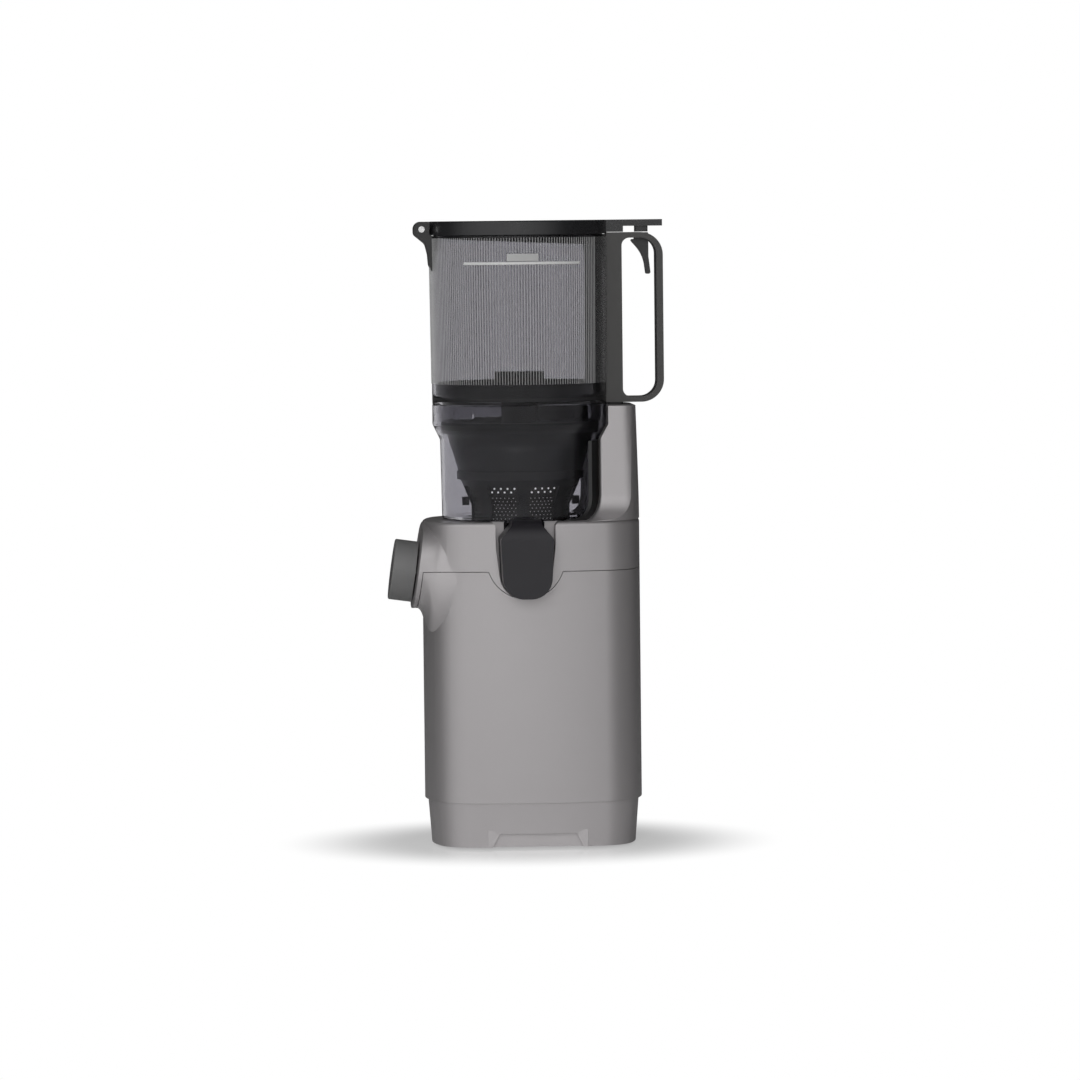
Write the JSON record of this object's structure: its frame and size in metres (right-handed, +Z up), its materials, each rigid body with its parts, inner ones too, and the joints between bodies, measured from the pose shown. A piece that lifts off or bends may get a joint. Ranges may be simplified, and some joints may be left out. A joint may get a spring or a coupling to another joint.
{
  "type": "cold press juicer",
  "caption": "Tall cold press juicer with an oval body, a clear bowl with a strainer and an auger, hooded side spouts, a ribbed hopper with a D handle and a hinged lid, and a front knob.",
  "frame": {"origin": "on the table under the middle of the whole juicer, knob to handle and spout to spout", "axes": "+Z up, -X to the front with the knob and the lid's hinge, +X to the rear tower and the handle, -Y to the juice spout"},
  "size_m": [0.215, 0.192, 0.481],
  "materials": {
    "casing_plastic": "satin",
    "foot_plastic": "satin",
    "black_plastic": "satin",
    "lid_plastic": "satin",
    "smoke_plastic": "clear",
    "skirt_plastic": "satin",
    "strainer_plastic": "satin",
    "auger_plastic": "satin",
    "knob_plastic": "fine texture",
    "cap_metal": "brushed",
    "bright_steel": "polished",
    "gear_steel": "machined",
    "gear_nylon": "satin",
    "cast_housing": "cast",
    "motor_iron": "laminated",
    "copper_wire": "varnished",
    "seal_rubber": "matt",
    "board_laminate": "satin",
    "board_parts": "satin"
  },
  "bodies": {
    "base": {"foot_ring": "foot_plastic", "bottom_plate": "black_plastic", "rubber_feet": "seal_rubber", "base_screws": "bright_steel", "lower_casing": "casing_plastic", "upper_cover": "casing_plastic", "cradle_panel": "black_plastic", "rotary_switch": "black_plastic", "control_board": "board_laminate", "board_components": "board_parts", "interlock_switch": "black_plastic", "cord_gland": "black_plastic", "motor_cradle": "cast_housing", "motor_bracket": "cast_housing", "motor_bearings": "bright_steel", "motor_stator": "motor_iron", "stator_coils": "copper_wire", "ring_gear": "gear_steel", "gearbox_housing": "cast_housing", "gearbox_lid": "cast_housing", "output_bearing": "bright_steel", "shaft_seal": "seal_rubber"},
    "rotor": {"motor_rotor": "motor_iron", "rotor_shaft": "bright_steel", "cooling_fan": "black_plastic", "sun_gear": "gear_steel"},
    "output": {"planet_carrier": "gear_steel", "planet_pins": "bright_steel", "drive_shaft": "bright_steel"},
    "planet_1": {"planet_gear_1": "gear_nylon"},
    "planet_2": {"planet_gear_2": "gear_nylon"},
    "planet_3": {"planet_gear_3": "gear_nylon"},
    "bowl": {"juicing_bowl": "smoke_plastic", "juice_spout": "smoke_plastic", "pulp_spout": "smoke_plastic", "strainer_frame": "strainer_plastic", "strainer_screen": "bright_steel", "rim_seal": "seal_rubber"},
    "auger": {"auger": "auger_plastic", "auger_head": "auger_plastic"},
    "hopper": {"hopper": "smoke_plastic", "handle": "black_plastic", "lever_pin": "bright_steel", "interlock_tongue": "black_plastic", "hinge_bracket": "black_plastic", "hinge_pin": "bright_steel"},
    "lever": {"release_lever": "black_plastic"},
    "lid": {"lid": "lid_plastic", "lid_skirt": "skirt_plastic"},
    "knob": {"control_knob": "knob_plastic", "knob_cap": "cap_metal", "knob_shaft": "bright_steel"}
  },
  "joints": [
    {"name": "rotor_spin", "type": "hinge", "parent": "base", "child": "rotor", "pos_m": [-0.00372, 0, 0.14], "axis": [0, 0, 1], "continuous": true},
    {"name": "output_spin", "type": "hinge", "parent": "base", "child": "output", "pos_m": [-0.00372, 0, 0.22], "axis": [0, 0, 1], "continuous": true},
    {"name": "planet_spin_1", "type": "hinge", "parent": "output", "child": "planet_1", "pos_m": [0.01698, 0, 0.197], "axis": [0, 0, 1], "continuous": true},
    {"name": "planet_spin_2", "type": "hinge", "parent": "output", "child": "planet_2", "pos_m": [-0.01407, 0.01793, 0.197], "axis": [0, 0, 1], "continuous": true},
    {"name": "planet_spin_3", "type": "hinge", "parent": "output", "child": "planet_3", "pos_m": [-0.01407, -0.01793, 0.197], "axis": [0, 0, 1], "continuous": true},
    {"name": "bowl_lift", "type": "slide", "parent": "base", "child": "bowl", "axis": [0, 0, 1], "range_m": [0, 0.13]},
    {"name": "auger_spin", "type": "hinge", "parent": "bowl", "child": "auger", "pos_m": [-0.00372, 0, 0.3], "axis": [0, 0, 1], "continuous": true},
    {"name": "hopper_twist", "type": "hinge", "parent": "bowl", "child": "hopper", "pos_m": [-0.00372, 0, 0.34], "axis": [0, 0, 1], "range_deg": [0, 18]},
    {"name": "lid_hinge", "type": "hinge", "parent": "hopper", "child": "lid", "pos_m": [-0.07852, 0, 0.475], "axis": [0, -1, 0], "range_deg": [0, 110]},
    {"name": "lever_pivot", "type": "hinge", "parent": "hopper", "child": "lever", "pos_m": [0.09158, 0, 0.4689], "axis": [0, 1, 0], "range_deg": [0, 6], "stiffness_Nm_per_rad": 0.03, "springref_deg": -11.46},
    {"name": "knob_turn", "type": "hinge", "parent": "base", "child": "knob", "pos_m": [-0.08539, 0, 0.2105], "axis": [-0.9903, 0, 0.1392], "range_deg": [-45, 45]}
  ],
  "couplings": [
    {"joint": "output_spin", "follows": "rotor_spin", "ratio": 0.16667},
    {"joint": "planet_spin_1", "follows": "rotor_spin", "ratio": -0.41667},
    {"joint": "planet_spin_2", "follows": "rotor_spin", "ratio": -0.41667},
    {"joint": "planet_spin_3", "follows": "rotor_spin", "ratio": -0.41667},
    {"joint": "auger_spin", "follows": "rotor_spin", "ratio": 0.16667}
  ]
}
